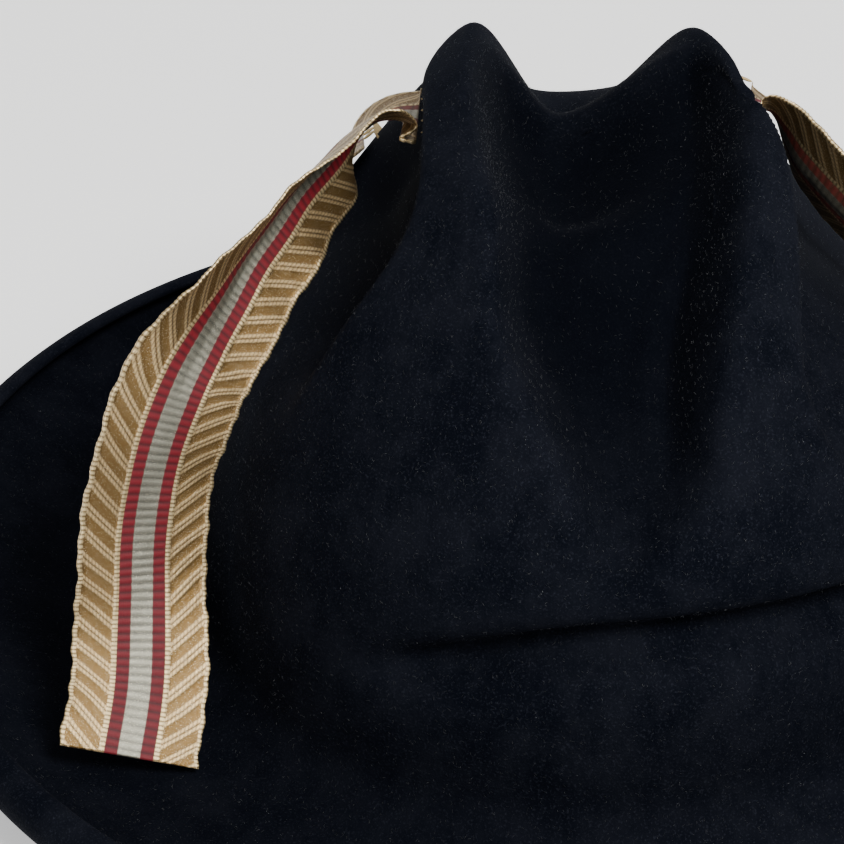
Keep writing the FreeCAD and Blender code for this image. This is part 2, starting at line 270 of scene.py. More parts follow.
def feltMiddle():
    # middle surface of the felt, from the top of the crown out to the rolled rim
    s = felt
    turn = np.arange(s["columns"]) * 2.0 * math.pi / s["columns"]
    lines = []
    full = math.acos(s["wallFoot"] / s["crownHeight"])
    for row in range(1, s["crownRows"] + 1):
        fall = full * row / s["crownRows"]
        x = s["halfWidth"] * math.sin(fall) * np.cos(turn)
        y = s["halfLength"] * math.sin(fall) * np.sin(turn)
        lines.append(dented(x, y, s["crownHeight"] * math.cos(fall) + 0.0 * x))
    flare = s["sideFlare"] + (s["frontFlare"] - s["sideFlare"]) * ramp(0.3, -0.9, np.sin(turn))
    for row in range(1, s["flareRows"] + 1):
        angle = 0.5 * math.pi * row / s["flareRows"]
        height = s["wallFoot"] - (s["wallFoot"] - s["brimHeight"]) * math.sin(angle)
        lines.append(beyondFoot(turn, flare * (1.0 - math.cos(angle)), height))
    lift = s["brimLift"] * (0.8 + 0.2 * np.cos(turn) ** 2)
    run = s["brimWidth"] - s["curlRadius"]
    for row in range(1, s["brimRows"] + 1):
        share = row / s["brimRows"]
        climb = max(0.0, share - s["brimFlat"]) / (1.0 - s["brimFlat"])
        height = s["brimHeight"] + lift * climb ** s["brimBow"]
        lines.append(beyondFoot(turn, flare + (run - flare) * share, height))
    tilt = np.arctan(s["brimBow"] * lift / (1.0 - s["brimFlat"]) / (run - flare))
    for row in range(1, s["curlRows"] + 1):
        angle = tilt + math.radians(s["curlTurn"]) * row / s["curlRows"]
        reach = run + s["curlRadius"] * (np.sin(angle) - np.sin(tilt))
        height = s["brimHeight"] + lift + s["curlRadius"] * (np.cos(tilt) - np.cos(angle))
        lines.append(beyondFoot(turn, reach, height))
    return np.array(lines)


def gridNormals(grid):
    around = np.roll(grid, -1, 1) - np.roll(grid, 1, 1)
    along = np.gradient(grid, axis=0)
    return unit(np.cross(along, around))


def closedSkin(rings, poleStart, poleEnd):
    # faces of a stack of closed rings between two poles, outward faces
    rows, columns = rings.shape[:2]
    points = np.concatenate([rings.reshape(-1, 3), [poleStart, poleEnd]])
    index = np.arange(rows * columns).reshape(rows, columns)
    onward = np.roll(index, -1, 1)
    quads = np.stack([index[:-1], index[1:], onward[1:], onward[:-1]], axis=-1).reshape(-1, 4)
    faces = quads.tolist()
    first, last = rows * columns, rows * columns + 1
    faces += [[first, int(a), int(b)] for a, b in zip(index[0], onward[0])]
    faces += [[last, int(b), int(a)] for a, b in zip(index[-1], onward[-1])]
    return points, faces


def makeFeltMaterial():
    material = bpy.data.materials.new("blackFurFelt")
    tree, shader = nodesOf(material)
    place = addNode(tree, "ShaderNodeTexCoord").outputs["Object"]
    brushed = addNode(tree, "ShaderNodeAttribute", attribute_name="brushed").outputs["Vector"]
    patches = noise(tree, place, 60.0, 6.0, 0.68)
    streaks = noise(tree, stretched(tree, brushed, (0.5, 0.16, 0.5)), 1.0, 4.0, 0.6)
    hairs = noise(tree, stretched(tree, brushed, (3.6, 1.6, 3.6)), 1.0, 3.0, 0.7)
    grain = noise(tree, place, 1900.0, 2.0, 0.6)
    mottle = sums(tree, "ADD", sums(tree, "MULTIPLY", patches, 0.82), sums(tree, "MULTIPLY", streaks, 0.18))
    share = addNode(tree, "ShaderNodeMapRange", {0: mottle, 1: 0.4, 2: 0.6}, clamp=True).outputs[0]
    base = mixColours(tree, share, (0.0014, 0.002, 0.0042, 1), (0.0045, 0.0053, 0.0085, 1))
    tip = addNode(tree, "ShaderNodeMapRange", {0: grain, 1: 0.55, 2: 0.78}, clamp=True).outputs[0]
    colour = mixColours(tree, sums(tree, "MULTIPLY", tip, 0.7), base, (0.016, 0.018, 0.026, 1))
    # painted shade: where the 'hollow' attribute is high (the front and left dents, the left of the brim) the
    # colour is pulled toward near black
    hollow = addNode(tree, "ShaderNodeAttribute", attribute_name="hollow").outputs["Vector"]
    deep = addNode(tree, "ShaderNodeSeparateXYZ", {0: hollow}).outputs[0]
    colour = mixColours(tree, sums(tree, "MULTIPLY", deep, 0.75), colour, (0.0006, 0.001, 0.0024, 1))
    tree.links.new(colour, shader.inputs["Base Color"])
    rough = addNode(tree, "ShaderNodeMapRange", {0: mottle, 1: 0.3, 2: 0.7, 3: 0.8, 4: 0.95}).outputs[0]
    tree.links.new(rough, shader.inputs["Roughness"])
    shader.inputs["Specular IOR Level"].default_value = 0.025
    shader.inputs["Sheen Weight"].default_value = 0.05
    shader.inputs["Sheen Roughness"].default_value = 0.5
    shader.inputs["Sheen Tint"].default_value = (0.07, 0.08, 0.115, 1)
    pile = sums(tree, "ADD", sums(tree, "MULTIPLY", hairs, 0.5), sums(tree, "MULTIPLY", grain, 0.8))
    height = sums(tree, "ADD", pile, sums(tree, "MULTIPLY", streaks, 0.12))
    bump(tree, shader, height, 0.0004, 0.6)
    return material


def makeFelt():
    grid = feltMiddle()
    for _ in range(felt["smoothing"]):  # eases the crisp lips so that the felt's two faces don't cross
        beside = np.roll(grid, 1, 1)[1:-1] + np.roll(grid, -1, 1)[1:-1]
        grid[1:-1] = 0.5 * grid[1:-1] + 0.125 * (beside + grid[:-2] + grid[2:])
    normals = gridNormals(grid)
    half = felt["thickness"] / 2.0
    top = grid + normals * half
    onward = unit(grid[-1] - grid[-2])
    edge = []
    for step in range(1, 6):
        angle = math.pi * step / 6
        edge.append(grid[-1] + (normals[-1] * math.cos(angle) + onward * math.sin(angle)) * half)
    under = (grid - normals * half)[::-1][::2]
    under[..., 2] = np.maximum(under[..., 2], 0.0)
    rings = np.concatenate([top, np.array(edge), under])
    poleTop = dented(np.array(0.001), np.array(0.0), np.array(felt["crownHeight"]))
    points, faces = closedSkin(rings, poleTop + (0, 0, half), poleTop - (0, 0, half))
    piece = addPiece("felt_body_soft", points * mm, faces, makeFeltMaterial())
    # coordinates in millimetres round the hat and down the brushed nap
    turn = np.arange(felt["columns"]) * 2.0 * math.pi / felt["columns"]
    steps = np.linalg.norm(np.diff(rings, axis=0), axis=-1).mean(axis=1)
    down = np.concatenate([[0.0], np.cumsum(steps)])
    # seamless round-and-round coordinate: the circle's own sine and cosine
    circle = felt["brushRadius"]
    brushed = np.stack(np.broadcast_arrays(
        circle * np.cos(turn)[None, :], down[:, None], circle * np.sin(turn)[None, :]), axis=-1)
    brushed = brushed.reshape(-1, 3)
    brushed = np.concatenate([brushed, [[0, 0, 0], [0, down[-1], 0]]])
    paintPoints(piece, "brushed", brushed)
    # painted shade: the felt's colour is darkened in the front and left dents by their depth, on the left of
    # the brim, and a little at the two poles
    rows = felt["crownRows"] + felt["flareRows"] + felt["brimRows"] + felt["curlRows"]
    hollow = np.zeros((len(rings), felt["columns"], 3))
    full = math.acos(felt["wallFoot"] / felt["crownHeight"])
    fall = full * np.arange(1, felt["crownRows"] + 1)[:, None] / felt["crownRows"]
    x = felt["halfWidth"] * np.sin(fall) * np.cos(turn)
    y = felt["halfLength"] * np.sin(fall) * np.sin(turn)
    z = felt["crownHeight"] * np.cos(fall) + 0.0 * x
    paintedDentShade = np.maximum(frontDent(x, y, z) / felt["frontDent"], leftDent(x, y, z) / felt["leftDent"])
    hollow[:felt["crownRows"], :, 0] = np.clip(paintedDentShade, 0.0, 1.0)
    # painted shade on the flare, brim and rolled rim, strongest on the left and fading to none on the right
    hollow[felt["crownRows"]:rows, :, 0] = 0.45 * ramp(0.3, -0.8, np.cos(turn))
    paintPoints(piece, "hollow", np.concatenate([hollow.reshape(-1, 3), [[0.3, 0, 0], [0.3, 0, 0]]]))
    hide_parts("felt_body")
    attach(piece, "hat")
    print("felt", len(piece.data.polygons))
    return piece


feltPiece = makeFelt()


weave = {
    "width": 32.0, "selvedge": 1.0, "goldTo": 9.0, "cordTo": 10.3, "redTo": 13.4,
    "bandPitch": 5.2, "bandLean": 0.8, "rib": 1.9, "bead": 1.0, "thickness": 0.7,
}
leftRun = {
    "name": "left_ribbon", "tail": "left_tail", "cup": 7.5, "outer": -1.0,
    "stations": [
        ((-39.1, 17.0, 125.4), (0.0, -1.0, 0.05)),
        ((-44.5, 17.0, 125.2), (0.0, -1.0, 0.2)),
        ((-50.8, 12.5, 123.6), (0.0, -0.87, 0.49)),
        ((-56.8, 4.0, 119.5), (-0.2, -0.76, 0.61)),
        ((-64.2, -4.0, 114.6), (-0.31, -0.7, 0.64)),
        ((-70.0, -12.0, 109.5), (-0.44, -0.64, 0.62)),
        ((-75.7, -19.0, 104.3), (-0.52, -0.6, 0.6)),
        ((-81.0, -26.0, 98.5), (-0.6, -0.57, 0.52)),
        ((-86.7, -32.0, 92.0), (-0.76, -0.49, 0.36)),
        ((-91.6, -37.0, 85.0), (-0.84, -0.42, 0.32)),
        ((-96.2, -41.0, 74.0), (-0.85, -0.42, 0.33)),
        ((-99.4, -44.0, 62.7), (-0.84, -0.44, 0.34)),
        ((-101.2, -47.5, 51.0), (-0.85, -0.42, 0.32)),
        ((-101.8, -53.0, 37.0), (-0.9, -0.35, 0.25)),
        ((-102.2, -63.0, 21.5), (-0.95, -0.22, 0.21)),
        ((-104.5, -74.0, 9.3), (-0.95, -0.16, 0.2)),
    ],
}
rightRun = {
    "name": "right_ribbon", "tail": "right_tail", "cup": 3.0, "outer": -1.0,
    "stations": [
        ((37.4, 25.0, 124.6), (0.0, -1.0, 0.1)),
        ((42.5, 24.0, 123.0), (0.0, -0.93, 0.35)),
        ((46.0, 19.5, 119.5), (0.05, -0.78, 0.6)),
        ((49.5, 14.0, 115.8), (0.1, -0.68, 0.72)),
        ((54.0, 9.0, 112.0), (0.14, -0.66, 0.72)),
        ((60.0, 4.0, 107.0), (0.2, -0.67, 0.68)),
        ((69.5, -2.0, 99.0), (0.3, -0.7, 0.6)),
        ((79.5, -6.5, 89.5), (0.38, -0.76, 0.48)),
        ((88.5, -10.5, 77.0), (0.42, -0.82, 0.36)),
        ((95.0, -14.0, 62.5), (0.44, -0.86, 0.26)),
        ((100.0, -18.0, 47.0), (0.45, -0.88, 0.2)),
        ((104.0, -23.0, 32.0), (0.45, -0.88, 0.16)),
        ((108.0, -27.5, 19.0), (0.45, -0.88, 0.14)),
        ((112.5, -31.0, 12.5), (0.45, -0.88, 0.12)),
    ],
}
rearRun = {
    "name": "left_rear_ribbon", "tail": "left_rear_tail", "cup": 1.0, "outer": 1.0,
    "stations": [
        ((-52.5, 60.0, 98.5), (0.0, -1.0, 0.3)),
        ((-58.0, 58.5, 94.5), (0.0, -1.0, 0.25)),
        ((-66.0, 54.0, 85.0), (0.0, -1.0, 0.2)),
        ((-76.0, 47.5, 74.4), (-0.05, -1.0, 0.15)),
        ((-83.0, 40.0, 60.4), (-0.12, -1.0, 0.1)),
        ((-87.0, 33.5, 46.5), (-0.15, -1.0, 0.05)),
        ((-90.3, 28.5, 35.0), (-0.16, -1.0, 0.0)),
        ((-91.8, 26.0, 27.0), (-0.16, -1.0, 0.0)),
    ],
}


def smoothRun(stations, pitch):
    # even points on a smooth curve through the stations, with the width's way at each
    middles = np.array([m for m, _ in stations])
    ways = np.array([w for _, w in stations])
    both = np.concatenate([middles, ways], axis=1)
    padded = np.concatenate([[2 * both[0] - both[1]], both, [2 * both[-1] - both[-2]]])
    fine = []
    for i in range(len(both) - 1):
        a, b, c, d = padded[i:i + 4]
        t = np.linspace(0.0, 1.0, 24, endpoint=False)[:, None]
        bend = (2 * a - 5 * b + 4 * c - d) * t * t
        twist = (3 * b - a - 3 * c + d) * t ** 3
        fine.append(0.5 * (2 * b + (c - a) * t + bend + twist))
    fine = np.concatenate(fine + [both[-1:]])
    travelled = np.concatenate([[0.0], np.cumsum(np.linalg.norm(np.diff(fine[:, :3], axis=0), axis=1))])
    count = int(travelled[-1] / pitch)
    even = np.linspace(0.0, travelled[-1], count + 1)
    line = np.stack([np.interp(even, travelled, fine[:, k]) for k in range(6)], axis=1)
    middle = line[:, :3]
    along = unit(np.gradient(middle, axis=0))
    width = line[:, 3:]
    width = unit(width - along * np.sum(width * along, axis=1, keepdims=True))
    return middle, along, width, np.cross(along, width), even


def weaveRelief(across, down):
    # height of the weave above the ribbon's ground, in millimetres
    edge = weave["width"] / 2.0 - np.abs(across)
    beads = np.abs(np.sin(math.pi * down / weave["bead"]))
    selvedge = (edge < weave["selvedge"]) * 0.32 * beads
    cord = bell(edge - 0.5 * (weave["goldTo"] + weave["cordTo"]), 0.38) * 0.3 * (0.55 + 0.45 * beads)
    phase = ((down - edge * weave["bandLean"]) / weave["bandPitch"]) % 1.0
    twill = (phase > 0.46) * np.abs(np.sin(2.0 * math.pi * (phase - 0.46) / 0.54)) * 0.24
    knots = 0.6 + 0.4 * np.abs(np.sin(math.pi * edge / 0.85))
    inBand = ramp(weave["selvedge"], weave["selvedge"] + 0.3, edge)
    inBand = inBand * ramp(weave["goldTo"], weave["goldTo"] - 0.4, edge)
    ribs = np.abs(np.sin(math.pi * down / weave["rib"])) * 0.22
    ribs = ribs * ramp(weave["cordTo"], weave["cordTo"] + 0.3, edge)
    return selvedge + cord + inBand * twill * knots + ribs


def ribbonMaterial(name, dimShare):
    material = bpy.data.materials.new(name)
    tree, shader = nodesOf(material)
    uv = addNode(tree, "ShaderNodeAttribute", attribute_name="weave").outputs["Vector"]
    split = addNode(tree, "ShaderNodeSeparateXYZ", {0: uv})
    across, down, reverse = split.outputs[0], split.outputs[1], split.outputs[2]
    edge = sums(tree, "SUBTRACT", weave["width"] / 2.0, sums(tree, "ABSOLUTE", across))
    beads = sums(tree, "ABSOLUTE", sums(tree, "SINE", sums(tree, "MULTIPLY", down, math.pi / weave["bead"])))
    ribs = sums(tree, "ABSOLUTE", sums(tree, "SINE", sums(tree, "MULTIPLY", down, math.pi / weave["rib"])))
    lean = sums(tree, "SUBTRACT", down, sums(tree, "MULTIPLY", edge, weave["bandLean"]))
    phase = sums(tree, "FRACT", sums(tree, "ADD", sums(tree, "DIVIDE", lean, weave["bandPitch"]), 100.0))
    twill = between(tree, phase, 0.47, 0.99, 0.03)
    rowTurn = sums(tree, "MULTIPLY", sums(tree, "SUBTRACT", phase, 0.46), 2.0 * math.pi / 0.54)
    rows = sums(tree, "ABSOLUTE", sums(tree, "SINE", rowTurn))
    knots = sums(tree, "ABSOLUTE", sums(tree, "SINE", sums(tree, "MULTIPLY", edge, math.pi / 0.85)))
    wander = noise(tree, stretched(tree, uv, (0.5, 0.09, 1.0)), 1.0, 3.0, 0.6)
    threads = noise(tree, stretched(tree, uv, (1.2, 7.0, 1.0)), 1.0, 2.0, 0.7)
    warp = noise(tree, stretched(tree, uv, (7.0, 0.7, 1.0)), 1.0, 2.0, 0.7)

    satin = mixColours(tree, warp, (0.05, 0.026, 0.006, 1), (0.32, 0.19, 0.055, 1))
    beadLight = sums(tree, "MULTIPLY", rows, sums(tree, "ADD", sums(tree, "MULTIPLY", knots, 0.6), 0.4))
    braid = mixColours(tree, beadLight, (0.07, 0.035, 0.01, 1), (0.85, 0.62, 0.32, 1))
    gold = mixColours(tree, twill, satin, braid)
    gold = mixColours(tree, sums(tree, "MULTIPLY", wander, 0.35), gold, (0.3, 0.17, 0.07, 1))
    cord = mixColours(tree, beads, (0.14, 0.08, 0.025, 1), (0.8, 0.62, 0.34, 1))
    red = mixColours(tree, ribs, (0.02, 0.0006, 0.002, 1), (0.14, 0.002, 0.008, 1))
    red = mixColours(tree, sums(tree, "MULTIPLY", threads, 0.35), red, (0.2, 0.006, 0.016, 1))
    silver = mixColours(tree, ribs, (0.05, 0.047, 0.034, 1), (0.28, 0.27, 0.21, 1))
    silver = mixColours(tree, sums(tree, "MULTIPLY", threads, 0.5), silver, (0.55, 0.54, 0.46, 1))

    colour = mixColours(tree, between(tree, edge, weave["redTo"], 99.0, 0.12), red, silver)
    colour = mixColours(tree, between(tree, edge, weave["goldTo"], weave["cordTo"], 0.1), colour, cord)
    colour = mixColours(tree, between(tree, edge, weave["selvedge"], weave["goldTo"], 0.1), colour, gold)
    colour = mixColours(tree, between(tree, edge, -9.0, weave["selvedge"], 0.1), colour, cord)
    backTint = mixColours(tree, sums(tree, "MULTIPLY", reverse, 0.12), colour, (0.34, 0.24, 0.12, 1))
    # the rear ribbon's copy of this finish mixes every colour toward dim brown by dimShare, darker than the
    # front ribbons
    colour = mixColours(tree, dimShare, backTint, (0.2, 0.13, 0.1, 1))
    # painted glints: at random spots the base colour is pushed toward pale gold, except on the red bands
    sparkle = noise(tree, stretched(tree, uv, (4.5, 4.5, 1.0)), 1.0, 1.0, 0.5)
    glint = addNode(tree, "ShaderNodeMapRange", {0: sparkle, 1: 0.6, 2: 0.72}, clamp=True).outputs[0]
    notRed = sums(tree, "SUBTRACT", 1.0, between(tree, edge, weave["cordTo"], weave["redTo"], 0.1))
    shine = sums(tree, "MULTIPLY", glint, sums(tree, "MULTIPLY", notRed, 0.7))
    colour = mixColours(tree, shine, colour, (1.0, 0.9, 0.68, 1))
    tree.links.new(colour, shader.inputs["Base Color"])

    isRed = between(tree, edge, weave["cordTo"], weave["redTo"], 0.1)
    metal = sums(tree, "SUBTRACT", 0.82, sums(tree, "MULTIPLY", isRed, 0.74))
    tree.links.new(metal, shader.inputs["Metallic"])
    rough = addNode(tree, "ShaderNodeMapRange", {0: threads, 1: 0.3, 2: 0.7, 3: 0.28, 4: 0.5}).outputs[0]
    tree.links.new(sums(tree, "ADD", rough, sums(tree, "MULTIPLY", isRed, 0.2)), shader.inputs["Roughness"])
    fine = sums(tree, "ADD", sums(tree, "MULTIPLY", threads, 0.5), sums(tree, "MULTIPLY", warp, 0.5))
    bump(tree, shader, fine, 0.00022, 0.8)
    return material


def stripFaces(rows, columns, offset, flip):
    index = np.arange(rows * columns).reshape(rows, columns) + offset
    quads = np.stack([index[:-1, :-1], index[1:, :-1], index[1:, 1:], index[:-1, 1:]], axis=-1).reshape(-1, 4)
    return (quads[:, ::-1] if flip else quads).tolist(), index


def closedStrip(name, front, back, material):
    # thin piece from the two grids of its faces, closed round the edge
    rows, columns = front.shape[:2]
    frontFaces, frontIndex = stripFaces(rows, columns, 0, False)
    backFaces, backIndex = stripFaces(rows, columns, rows * columns, True)
    ring = []
    reversedWay = slice(None, None, -1)
    for pick in ((0, slice(None)), (slice(None), -1), (-1, reversedWay), (reversedWay, 0)):
        ring += list(zip(frontIndex[pick][:-1], backIndex[pick][:-1]))
    rim = [[int(a), int(c), int(d), int(b)] for (a, b), (c, d) in zip(ring, ring[1:] + ring[:1])]
    points = np.concatenate([front.reshape(-1, 3), back.reshape(-1, 3)])
    return addPiece(name, points * mm, frontFaces + backFaces + rim, material)


def makeRibbon(run, material):
    middle, along, width, face, down = smoothRun(run["stations"], 0.46)
    across = np.linspace(-weave["width"] / 2.0, weave["width"] / 2.0, 73)
    total = down[-1]
    share = down / total
    relief = weaveRelief(across[None, :], down[:, None])
    outer = face * run["outer"]
    cup = run["cup"] * ramp(0.03, 0.14, share) * ramp(0.55, 0.3, share)  # folded lengthwise near its sewn end
    side = across / (weave["width"] / 2.0)
    hollow = cup[:, None] * (np.abs(side[None, :]) ** 1.2 - 0.5)
    narrow = np.sqrt(np.maximum(0.3, 1.0 - (cup[:, None] / 16.0) ** 2))
    wave = 0.5 * np.sin(down[:, None] * 0.23 + side[None, :] * 2.0)
    wave = wave * ramp(0.1, 0.4, share)[:, None] * np.abs(side[None, :])
    ragged = 0.35 * np.sin(down * 0.9) * np.sin(down * 0.31 + 1.0)
    sideways = across[None, :] * narrow + ragged[:, None] * side[None, :] ** 8
    centre = middle[:, None, :] + width[:, None, :] * sideways[..., None]
    centre = centre + outer[:, None, :] * (hollow + wave)[..., None]
    half = weave["thickness"] / 2.0
    front = centre + outer[:, None, :] * (half * 0.6 + relief)[..., None]
    back = centre - outer[:, None, :] * (half * 0.6 + 0.5 * relief)[..., None]
    piece = closedStrip(run["name"] + "_woven", front, back, material)
    place = np.stack(np.broadcast_arrays(across[None, :], down[:, None], 0 * relief), axis=-1).reshape(-1, 3)
    paintPoints(piece, "weave", np.concatenate([place, place + (0, 0, 1)]))
    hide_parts(run["name"])
    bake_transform(piece)
    print(run["name"], round(total, 1), "mm long,", len(piece.data.polygons), "faces")
    return piece


wovenRibbon = ribbonMaterial("wovenMetallicRibbon", 0.0)
# the rear ribbon gets a copy of the finish mixed 35% toward dim brown
dimmedRibbon = ribbonMaterial("wovenMetallicRibbonDimmed", 0.35)
makeRibbon(leftRun, wovenRibbon)
makeRibbon(rightRun, wovenRibbon)
makeRibbon(rearRun, dimmedRibbon)

band = {
    "low": 2.6, "high": 29.0, "thickness": 1.2, "gap": 1.4, "seam": 1.6, "columns": 260, "rows": 22,
    "reedLow": 0.8, "reedSize": 1.8, "clear": 0.4, "stitchHeight": 6.0, "tapeWidth": 10.0, "tapeHeight": 22.0,
}


def wallAxes(height, inset):
    share = math.sqrt(1.0 - (max(height, felt["wallFoot"]) / felt["crownHeight"]) ** 2)
    inset += felt["thickness"] / 2.0 + band["gap"]
    return felt["halfWidth"] * share - inset, felt["halfLength"] * share - inset


def leatherMaterial():
    material = bpy.data.materials.new("sweatbandLeather")
    tree, shader = nodesOf(material)
    place = addNode(tree, "ShaderNodeTexCoord").outputs["Object"]
    pores = addNode(tree, "ShaderNodeTexVoronoi", {"Vector": place, "Scale": 1500.0}).outputs[0]
    creases = noise(tree, stretched(tree, place, (1.0, 1.0, 0.35)), 240.0, 4.0, 0.6)
    wear = noise(tree, place, 42.0, 3.0, 0.5)
    colour = mixColours(tree, wear, (0.045, 0.018, 0.008, 1), (0.16, 0.072, 0.03, 1))
    colour = mixColours(tree, sums(tree, "MULTIPLY", creases, 0.4), colour, (0.03, 0.012, 0.006, 1))
    tree.links.new(colour, shader.inputs["Base Color"])
    rough = addNode(tree, "ShaderNodeMapRange", {0: wear, 1: 0.3, 2: 0.7, 3: 0.36, 4: 0.58}).outputs[0]
    tree.links.new(rough, shader.inputs["Roughness"])
    height = sums(tree, "ADD", sums(tree, "MULTIPLY", pores, 0.5), creases)
    bump(tree, shader, height, 0.0003, 0.6)
    return material


def threadMaterial(name, dark, light, roughness):
    material = bpy.data.materials.new(name)
    tree, shader = nodesOf(material)
    place = addNode(tree, "ShaderNodeTexCoord").outputs["Object"]
    twist = noise(tree, place, 2600.0, 2.0, 0.6)
    shade = noise(tree, place, 160.0, 2.0, 0.5)
    share = sums(tree, "ADD", sums(tree, "MULTIPLY", twist, 0.6), sums(tree, "MULTIPLY", shade, 0.4))
    tree.links.new(mixColours(tree, share, dark, light), shader.inputs["Base Color"])
    shader.inputs["Roughness"].default_value = roughness
    shader.inputs["Sheen Weight"].default_value = 0.2
    bump(tree, shader, twist, 0.0002, 0.7)
    return material


def makeSweatband():
    # leather strip whose ends nearly meet at the back, its top edge a little uneven from wear
    middleSize = wallAxes(felt["wallFoot"], 0.0)
    gapTurn = band["seam"] / 2.0 / middleSize[0]
    turn = math.pi / 2.0 + np.linspace(gapTurn, 2.0 * math.pi - gapTurn, band["columns"])
    sides = []
    for inset in (0.05, band["thickness"] - 0.05):
        low, high = wallAxes(felt["wallFoot"], inset), wallAxes(band["high"], inset)
        rows = []
        for row in range(band["rows"]):
            share = row / (band["rows"] - 1)
            ripple = 0.12 * np.sin(9.0 * turn + 2.0 * share) * share
            x = (low[0] + (high[0] - low[0]) * share - ripple) * np.cos(turn)
            y = (low[1] + (high[1] - low[1]) * share - ripple) * np.sin(turn)
            z = band["low"] + (band["high"] - band["low"]) * share - 0.3 * share * (1.0 + np.sin(5.0 * turn))
            rows.append(np.stack([x, y, z], axis=-1))
        sides.append(np.array(rows))
    return closedStrip("sweatband_leather", sides[0], sides[1], leatherMaterial())


def makeReed():
    # reed in its woven casing, round under the band's lower edge
    size = wallAxes(felt["wallFoot"], -band["clear"] - band["reedSize"] / 2.0)
    turn = np.linspace(0.0, 2.0 * math.pi, 240, endpoint=False)
    rings = []
    for step in range(14):
        angle = 2.0 * math.pi * step / 14
        radius = band["reedSize"] / 2.0 * (0.97 + 0.03 * np.cos(60.0 * turn))
        x = (size[0] + radius * math.cos(angle)) * np.cos(turn)
        y = (size[1] + radius * math.cos(angle)) * np.sin(turn)
        z = band["reedLow"] + band["reedSize"] / 2.0 + radius * math.sin(angle)
        rings.append(np.stack([x, y, z], axis=-1))
    index = np.arange(14 * 240).reshape(14, 240)
    below, onward = np.roll(index, -1, 0), np.roll(index, -1, 1)
    faces = np.stack([index, below, np.roll(below, -1, 1), onward], axis=-1).reshape(-1, 4).tolist()
    cloth = threadMaterial("reedCasing", (0.03, 0.022, 0.014, 1), (0.15, 0.11, 0.07, 1), 0.8)
    return addPiece("sweatband_reed_cased", np.array(rings) * mm, faces, cloth)


def threadTree():
    # instances a short thread on each point, turned and sized by the point's own attributes
    tree = bpy.data.node_groups.new("threadOnEachPoint", "GeometryNodeTree")
    face = tree.interface
    face.new_socket(name="Geometry", in_out="INPUT", socket_type="NodeSocketGeometry")
    sockets = {"Sides": "NodeSocketInt", "Rings": "NodeSocketInt", "Finish": "NodeSocketMaterial"}
    for name, kind in sockets.items():
        face.new_socket(name=name, in_out="INPUT", socket_type=kind)
    face.new_socket(name="Geometry", in_out="OUTPUT", socket_type="NodeSocketGeometry")
    given = tree.nodes.new("NodeGroupInput")
    out = tree.nodes.new("NodeGroupOutput")
    sphere = addNode(tree, "GeometryNodeMeshUVSphere", {
        "Segments": given.outputs["Sides"], "Rings": given.outputs["Rings"], "Radius": 0.5})
    turned = addNode(tree, "GeometryNodeInputNamedAttribute", {"Name": "turned"}, data_type="FLOAT_VECTOR")
    sized = addNode(tree, "GeometryNodeInputNamedAttribute", {"Name": "sized"}, data_type="FLOAT_VECTOR")
    place = addNode(tree, "GeometryNodeInstanceOnPoints", {
        "Points": given.outputs["Geometry"], "Instance": sphere.outputs["Mesh"],
        "Rotation": turned.outputs["Attribute"], "Scale": sized.outputs["Attribute"]})
    real = addNode(tree, "GeometryNodeRealizeInstances", {"Geometry": place.outputs["Instances"]})
    finish = addNode(tree, "GeometryNodeSetMaterial", {
        "Geometry": real.outputs["Geometry"], "Material": given.outputs["Finish"]})
    tree.links.new(finish.outputs["Geometry"], out.inputs["Geometry"])
    return tree


threadNodes = threadTree()


def growThreads(name, places, alongs, sizes, material, sides=8, rings=6):
    # one closed thread at each place, its length lying the way of alongs; sizes are length and thickness
    places, alongs, sizes = np.array(places), unit(np.array(alongs)), np.array(sizes)
    holder = bpy.data.meshes.new(name + "_points")
    holder.from_pydata((places * mm).tolist(), [], [])
    points = bpy.data.objects.new(name + "_points", holder)
    bpy.context.scene.collection.objects.link(points)
    turned = [tuple(Vector(along).to_track_quat("Z", "Y").to_euler()) for along in alongs]
    paintPoints(points, "turned", turned)
    paintPoints(points, "sized", np.stack([sizes[:, 1], sizes[:, 1], sizes[:, 0]], axis=-1) * mm)
    grower = points.modifiers.new("threads", "NODES")
    grower.node_group = threadNodes
    for item in threadNodes.interface.items_tree:
        if item.in_out == "INPUT" and item.name in ("Sides", "Rings", "Finish"):
            grower[item.identifier] = {"Sides": sides, "Rings": rings, "Finish": material}[item.name]
    bpy.context.view_layer.update()
    grown = bpy.data.meshes.new_from_object(points.evaluated_get(bpy.context.evaluated_depsgraph_get()))
    bpy.data.objects.remove(points)
    grown.name = name
    grown.polygons.foreach_set("use_smooth", [True] * len(grown.polygons))
    piece = bpy.data.objects.new(name, grown)
    bpy.context.scene.collection.objects.link(piece)
    print(name, len(grown.polygons), "faces")
    return piece


def makeBandStitches(thread):
    half = wallAxes(felt["wallFoot"], band["thickness"] + 0.6 + band["clear"])
    turn = math.pi / 2.0 + 2.0 * math.pi * (np.arange(64) + 0.5) / 64
    zero = 0.0 * turn
    places = np.stack([half[0] * np.cos(turn), half[1] * np.sin(turn), band["stitchHeight"] + zero], axis=-1)
    alongs = np.stack([-half[0] * np.sin(turn), half[1] * np.cos(turn), 0.4 * np.sin(7.0 * turn)], axis=-1)
    sizes = np.stack([4.6 + zero, 0.6 + zero], axis=-1)
    return growThreads("sweatband_stitch_row", places, alongs, sizes, thread, 10, 8)


